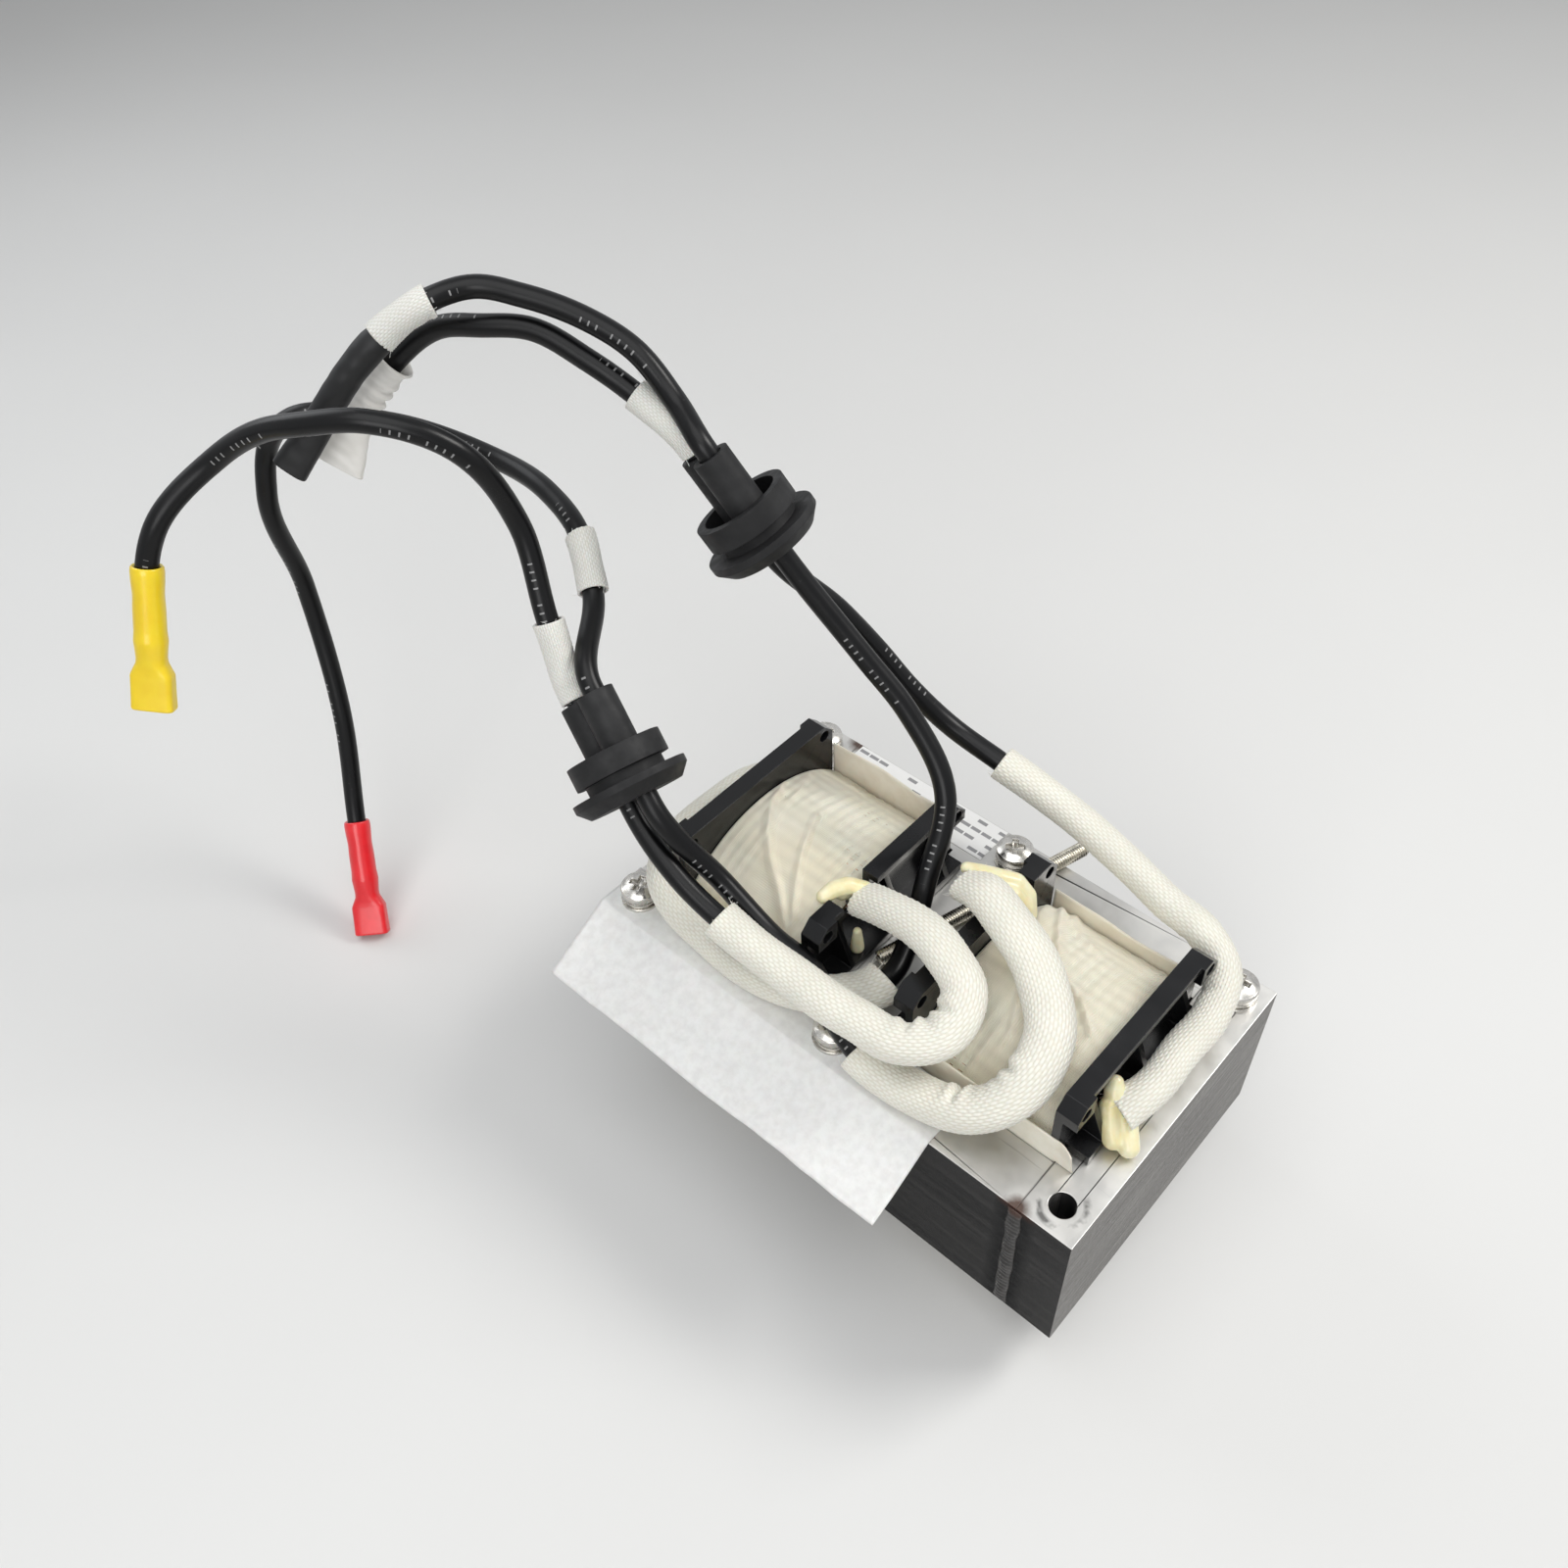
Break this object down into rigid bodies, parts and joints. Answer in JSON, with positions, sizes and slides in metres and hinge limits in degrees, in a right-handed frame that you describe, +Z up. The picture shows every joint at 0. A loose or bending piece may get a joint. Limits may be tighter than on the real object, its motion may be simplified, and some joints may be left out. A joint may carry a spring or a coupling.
{
  "type": "laminated chassis transformer",
  "caption": "Low laminated transformer: two taped coils on black bobbins in a welded steel core, screw fixings, and flying leads with sleeves, grommets and covered terminals.",
  "frame": {"origin": "centre of the underside of the laminated core, between the two bobbins", "axes": "+X along the core towards the right hand bobbin, +Y towards the edge that carries the label, +Z up through the stack"},
  "size_m": [0.2605, 0.1496, 0.1931],
  "materials": {
    "core_steel": "satin sheared lamination steel, dark brown lamination edges",
    "weld_steel": "burnt weld bead, dark with a brown tint",
    "bobbin_plastic": "black moulded nylon, glossy",
    "copper": "enamelled copper wire",
    "cloth_tape": "cream ribbed cotton tape",
    "paper": "cream insulating paper",
    "white_sheet": "matt white insulating sheet",
    "label_paper": "bare white label",
    "nickel_steel": "nickel plated steel",
    "lead_pvc": "black insulation, satin",
    "woven_sleeve": "cream white varnished glass braid",
    "grommet_rubber": "matt black rubber",
    "terminal_tin": "tinned brass",
    "yellow_vinyl": "glossy yellow vinyl",
    "red_vinyl": "glossy red vinyl",
    "shrink_white": "white shrink tube, rumpled",
    "shrink_black": "black shrink tube, smooth",
    "glue": "hard yellow cream glue"
  },
  "bodies": {
    "root": {"core_e_stack": "core_steel", "core_yoke_left": "core_steel", "core_yoke_right": "core_steel", "weld_front_left": "weld_steel", "weld_front_right": "weld_steel", "weld_rear_left": "weld_steel", "weld_rear_right": "weld_steel", "bobbin_left": "bobbin_plastic", "bobbin_right": "bobbin_plastic", "winding_left": "copper", "winding_right": "copper", "tape_left": "cloth_tape", "tape_right": "cloth_tape", "liner_rear_left": "paper", "liner_rear_right": "paper", "liner_front_left": "paper", "liner_front_right": "paper", "insulation_sheet": "white_sheet", "rating_label": "label_paper", "mounting_screws": "nickel_steel", "spring_washers": "nickel_steel", "flat_washers": "nickel_steel", "threaded_rod": "nickel_steel", "lead_white": "lead_pvc", "lead_black": "lead_pvc", "lead_yellow": "lead_pvc", "lead_red": "lead_pvc", "sleeve_white": "woven_sleeve", "sleeve_black": "woven_sleeve", "sleeve_yellow": "woven_sleeve", "sleeve_red": "woven_sleeve", "marker_white": "woven_sleeve", "marker_black": "woven_sleeve", "marker_yellow": "woven_sleeve", "marker_red": "woven_sleeve", "grommet_upper": "grommet_rubber", "grommet_lower": "grommet_rubber", "terminal_yellow": "terminal_tin", "terminal_red": "terminal_tin", "cover_yellow": "yellow_vinyl", "cover_red": "red_vinyl", "shrink_white": "shrink_white", "shrink_black": "shrink_black", "glue_left_inner": "glue", "glue_right_inner": "glue", "glue_right_outer": "glue"}
  },
  "joints": []
}
